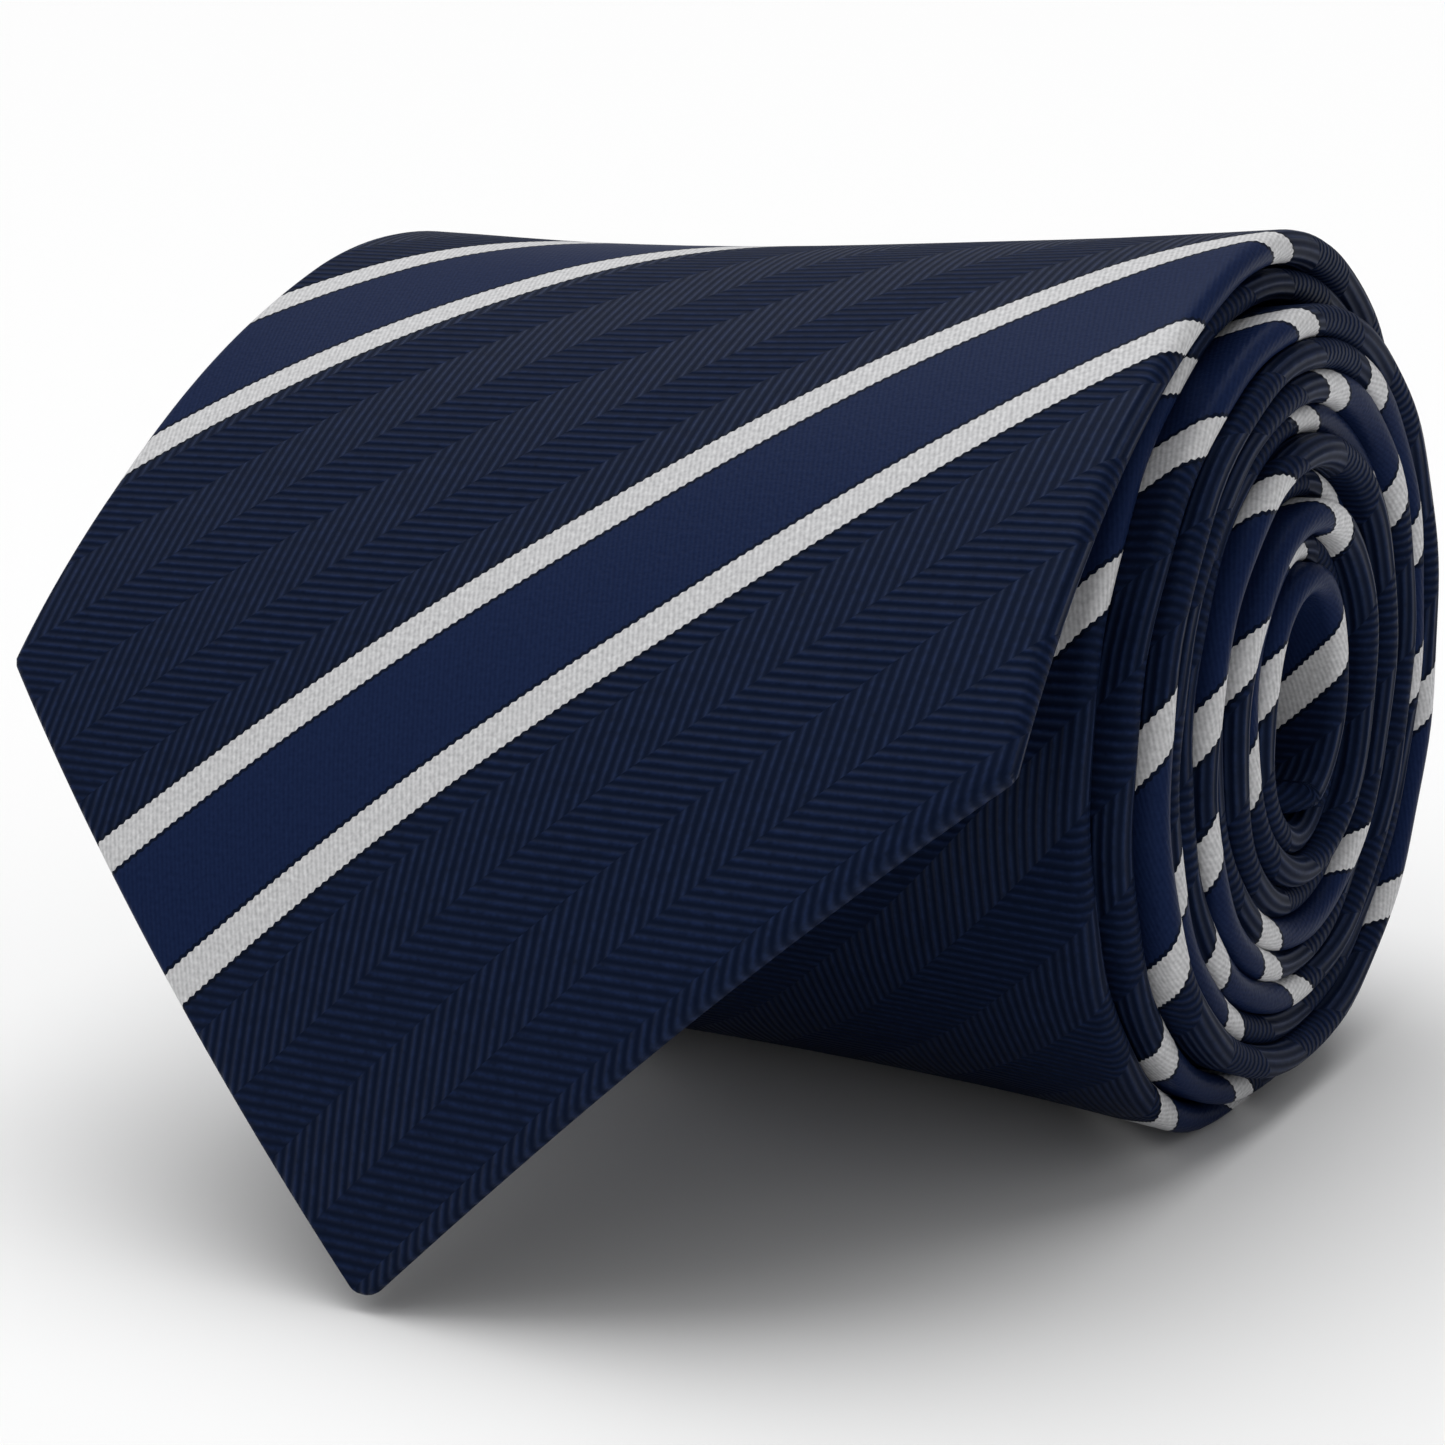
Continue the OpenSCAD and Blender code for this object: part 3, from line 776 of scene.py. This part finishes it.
# ---- Bar tacks ---------------------------------------------------------------------------
# A thick bar of thread is wrapped across the back seam where it opens towards each end, to
# stop it from tearing.
tack_length = 9 * mm
for name, node, ring, seed in (("blade_bar_tack", "blade_tack", 1, 13),
                               ("tail_bar_tack", "tail_tack",
                                nearest_ring(tie_length - 52 * mm), 17)):
    tack_s = (wound_distance(ring) + wound_distance(ring + 1)) / 2
    tack_u = np.arange(-tack_length / 2 + 0.2 * mm, tack_length / 2, 0.27 * mm)
    tack = sewn(name, tack_s, tack_u, -half_thickness(tack_s, tack_u) - 0.02 * mm,
                turn=0.12, length=1.3 * mm, radius=0.14 * mm, bow=0.16 * mm, seed=seed)
    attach(tack, "roll")
    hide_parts(node)

# ---- Keeper loop -------------------------------------------------------------------------
# A flat band of the tie's own silk lies across the back of the blade to hold the tail. It is
# fixed at its two ends only, each by a short bar of stitches.
keeper_half, keeper_ring = 23 * mm, nearest_ring(205 * mm)
keeper_start, keeper_end = wound_distance(keeper_ring), wound_distance(keeper_ring + 1)


def trim_height(depth, start, end):
    """Height of a face of a flat piece sewn to the back. depth is the face's distance from the
    middle of the piece, whose two long edges are rounded."""
    def height(s, u):
        edge = np.minimum(s - start, end - s) / (0.5 * mm)
        thin = 1 - np.sqrt(np.clip(1 - (1 - np.clip(edge, 0, 1))**2, 0, 1))
        return -half_thickness(s, u) - 0.21 * mm + (1 - 0.8 * thin) * depth
    return height


def trim_rows(start, end):
    """Distances of a flat piece's rows, closer together at its two rounded edges."""
    edge = np.array([0, 0.08, 0.2, 0.35, 0.5]) * mm
    return np.concatenate([start + edge, spaced(start + 1 * mm, end - 1 * mm, 0.8 * mm, 0.8 * mm),
                           (end - edge)[::-1]])


keeper = strip_mesh("keeper_band", trim_rows(keeper_start, keeper_end),
                    lambda s: keeper_half + 0 * s,
                    trim_height(-0.15 * mm, keeper_start, keeper_end),
                    trim_height(0.15 * mm, keeper_start, keeper_end), columns=25)
keeper.data.materials.append(silk_material("keeper_silk_weave", shift=12 * mm))
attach(keeper, "roll")
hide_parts("keeper_loop")

bar_s = np.tile(np.arange(keeper_start + 1.2 * mm, keeper_end - 1 * mm, 0.3 * mm), 2)
bar_side = np.repeat([-1, 1], len(bar_s) // 2)
bars = sewn("keeper_bars", bar_s, bar_side * (keeper_half - 0.1 * mm),
            -half_thickness(bar_s, keeper_half) - 0.2 * mm,
            turn=pi / 2, length=1.8 * mm, radius=0.13 * mm, bow=0.1 * mm, seed=19)
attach(bars, "roll")
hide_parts("keeper_stitches")

# ---- Label and care tag ------------------------------------------------------------------
# A blank woven label of silver grey satin is sewn to the back of the blade along its two long
# edges, and a small white blank tag is caught in the back seam behind it.


def ribbon_material(name, dark, light, rim):
    """Fine ribbon with a denser woven rim, whose half size is given by rim."""
    material, tree, shader = new_material(name)
    flat, u, v = flat_place(tree)
    weave = [calc(tree, "SINE", calc(tree, "MULTIPLY", axis, 2 * pi / (0.4 * mm)))
             for axis in (u, v)]
    weave = calc(tree, "ADD", calc(tree, "MULTIPLY", calc(tree, "MULTIPLY", *weave), 0.5), 0.5)
    uneven = noise(tree, flat, scale=500, detail=2)
    edge = calc(tree, "GREATER_THAN", calc(tree, "ABSOLUTE", u), rim - 1.2 * mm)
    colour = mix_colour(tree, weave, dark, light)
    colour = mix_colour(tree, calc(tree, "MULTIPLY", uneven, 0.3), colour, dark)
    colour = mix_colour(tree, calc(tree, "MULTIPLY", edge, 0.5), colour, light)
    tree.links.new(colour, shader.inputs["Base Color"])
    shader.inputs["Roughness"].default_value = 0.45
    add_relief(tree, shader, weave, depth=0.04 * mm, strength=0.5)
    return material


label_half, tag_half, label_place = 18 * mm, 7 * mm, 240 * mm
label_ring = nearest_ring(label_place)
for name, node, half, first, last, material in (
        ("blank_label", "label", label_half, label_ring, label_ring + 3,
         ribbon_material("label_satin", (0.36, 0.36, 0.38), (0.55, 0.55, 0.57), label_half)),
        ("blank_care_tag", "care_tag", tag_half, label_ring + 6, label_ring + 8,
         ribbon_material("tag_satin", (0.62, 0.62, 0.62), (0.80, 0.80, 0.80), tag_half))):
    start, end = wound_distance(first), wound_distance(last)
    ribbon = strip_mesh(name, trim_rows(start, end), lambda s: half + 0 * s,
                        trim_height(-0.13 * mm, start, end), trim_height(0.13 * mm, start, end),
                        columns=19)
    ribbon.data.materials.append(material)
    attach(ribbon, "roll")
    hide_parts(node)

label_u = np.arange(-label_half + 0.8 * mm, label_half, 2 * mm)
label_edges = [wound_distance(label_ring) + 0.4 * mm, wound_distance(label_ring + 3) - 0.4 * mm]
label_sewing = sewn("label_sewing", np.repeat(label_edges, len(label_u)), np.tile(label_u, 2),
                    -half_thickness(label_place, np.tile(label_u, 2)) - 0.2 * mm,
                    turn=0.5, length=1.5 * mm, radius=0.09 * mm, bow=0.1 * mm, seed=23)
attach(label_sewing, "roll")
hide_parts("label_stitches")

# ---- Floor, light and camera -------------------------------------------------------------
# The roll lies on a plain pale sheet under soft light from above and from the left.
bpy.ops.mesh.primitive_plane_add(size=6)
floor = bpy.context.object
floor.name = "floor"
floor_paint, _, floor_shader = new_material("floor_paint")
floor_shader.inputs["Base Color"].default_value = (0.97, 0.97, 0.97, 1)
floor_shader.inputs["Roughness"].default_value = 0.9
floor.data.materials.append(floor_paint)

world = bpy.data.worlds.new("studio")
bpy.context.scene.world = world
world.use_nodes = True
world.node_tree.nodes["Background"].inputs[0].default_value = (1, 1, 1, 1)
world.node_tree.nodes["Background"].inputs[1].default_value = 0.37


def soft_light(name, direction, spread, strength):
    """A wide light from one direction. spread is its width in degrees."""
    lamp = bpy.data.lights.new(name, "SUN")
    lamp.angle = radians(spread)
    lamp.energy = strength
    light = bpy.data.objects.new(name, lamp)
    bpy.context.scene.collection.objects.link(light)
    light.rotation_euler = (-Vector(direction)).to_track_quat("-Z", "Y").to_euler()


soft_light("top_light", (-0.15, 0.25, 1), spread=60, strength=1.9)
soft_light("front_light", (-0.6, -0.7, 1.1), spread=40, strength=0.35)

# The camera looks down from the front right, and leans a little about its own line of sight.
azimuth, elevation, distance, tilt = radians(31.445), radians(15.184), 286.9 * mm, radians(-1.755)
away = Vector((sin(azimuth) * cos(elevation), -cos(azimuth) * cos(elevation), sin(elevation)))
across_view = Vector((cos(azimuth), sin(azimuth), 0))
up_view = away.cross(across_view)
right = across_view * cos(tilt) + up_view * sin(tilt)
up = up_view * cos(tilt) - across_view * sin(tilt)
aim = Vector((-6.35 * mm, roll_y - 4.33 * mm, 26.29 * mm))
camera_data = bpy.data.cameras.new("camera")
camera_data.sensor_width, camera_data.lens = 36, 87.1
camera_data.shift_x, camera_data.shift_y = -0.006367, -0.002907
camera = bpy.data.objects.new("camera", camera_data)
bpy.context.scene.collection.objects.link(camera)
view_turn = Matrix((right, up, away)).transposed().to_4x4()
camera.matrix_world = Matrix.Translation(aim + away * distance) @ view_turn
bpy.context.scene.camera = camera
bpy.context.scene.view_settings.view_transform = "Standard"
